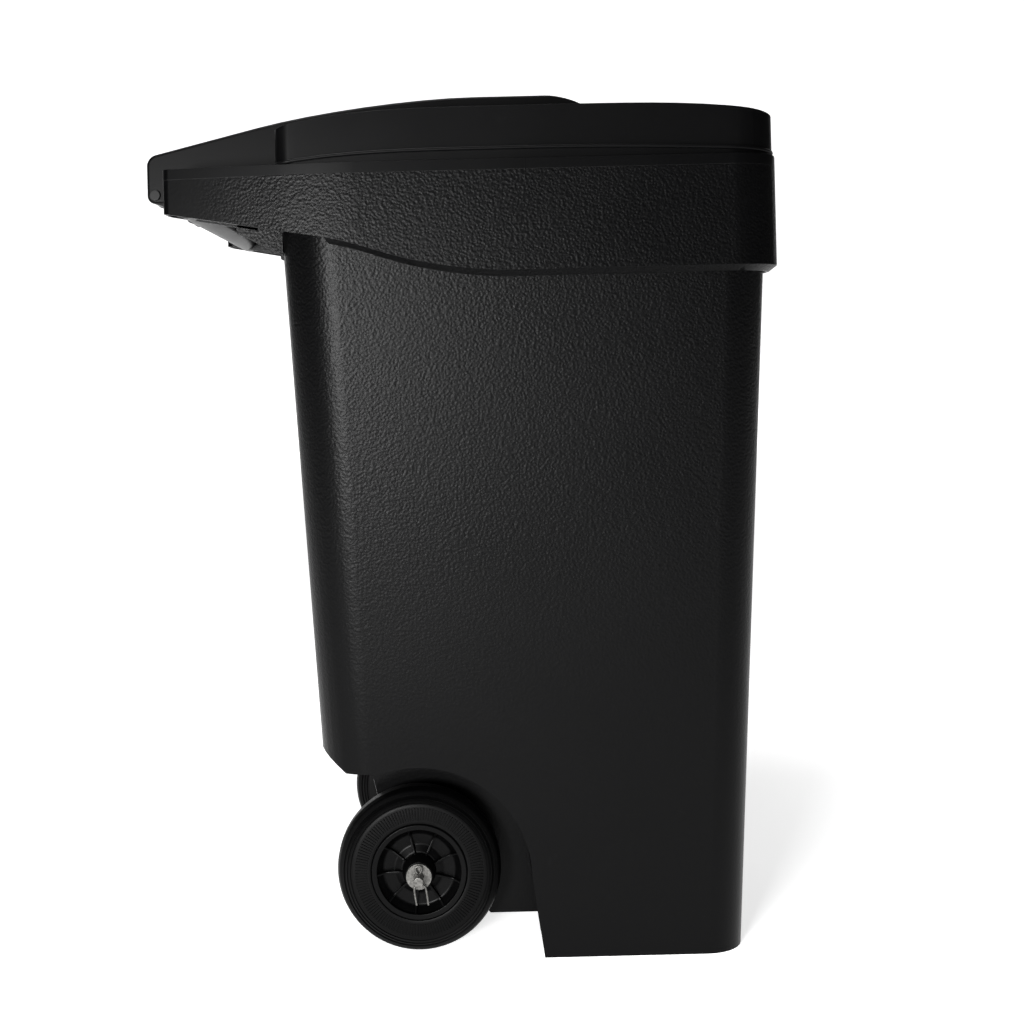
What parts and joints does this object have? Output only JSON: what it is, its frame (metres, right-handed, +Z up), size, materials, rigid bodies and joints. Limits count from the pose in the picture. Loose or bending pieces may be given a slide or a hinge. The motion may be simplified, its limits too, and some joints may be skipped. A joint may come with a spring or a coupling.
{
  "type": "two-wheeled refuse bin",
  "caption": "Black two-wheeled plastic refuse bin with a crowned hinged lid on twin arms, a deep skirt and side arms, a rear handle bar and solid-tyred wheels.",
  "frame": {"origin": "on the ground at the bottom centre of the whole bin's bounding box", "axes": "+X towards the front, away from the handle; +Y to the bin's left; +Z up"},
  "size_m": [0.76, 0.58, 1.045],
  "materials": {
    "body_plastic": "satin, fine leather grain",
    "lid_plastic": "satin",
    "pin_plastic": "satin",
    "wheel_plastic": "satin",
    "bush_plastic": "smooth",
    "tyre_rubber": "matte",
    "zinc_steel": "zinc plated"
  },
  "bodies": {
    "bin": {"bin_body": "body_plastic", "axle": "zinc_steel", "hinge_pin_left": "pin_plastic", "inner_washer_left": "zinc_steel", "outer_washer_left": "zinc_steel", "split_pin_left": "zinc_steel", "hinge_pin_right": "pin_plastic", "inner_washer_right": "zinc_steel", "outer_washer_right": "zinc_steel", "split_pin_right": "zinc_steel"},
    "lid": {"lid": "lid_plastic"},
    "wheel_left": {"tyre_left": "tyre_rubber", "wheel_rim_left": "wheel_plastic", "hub_bush_left": "bush_plastic"},
    "wheel_right": {"tyre_right": "tyre_rubber", "wheel_rim_right": "wheel_plastic", "hub_bush_right": "bush_plastic"}
  },
  "joints": [
    {"name": "lid_hinge", "type": "hinge", "parent": "bin", "child": "lid", "pos_m": [-0.37, 0, 0.932], "axis": [0, -1, 0], "range_deg": [0, 220]},
    {"name": "wheel_left_spin", "type": "hinge", "parent": "bin", "child": "wheel_left", "pos_m": [-0.0625, 0.175, 0.1], "axis": [0, 1, 0], "continuous": true},
    {"name": "wheel_right_spin", "type": "hinge", "parent": "bin", "child": "wheel_right", "pos_m": [-0.0625, -0.175, 0.1], "axis": [0, 1, 0], "continuous": true}
  ]
}
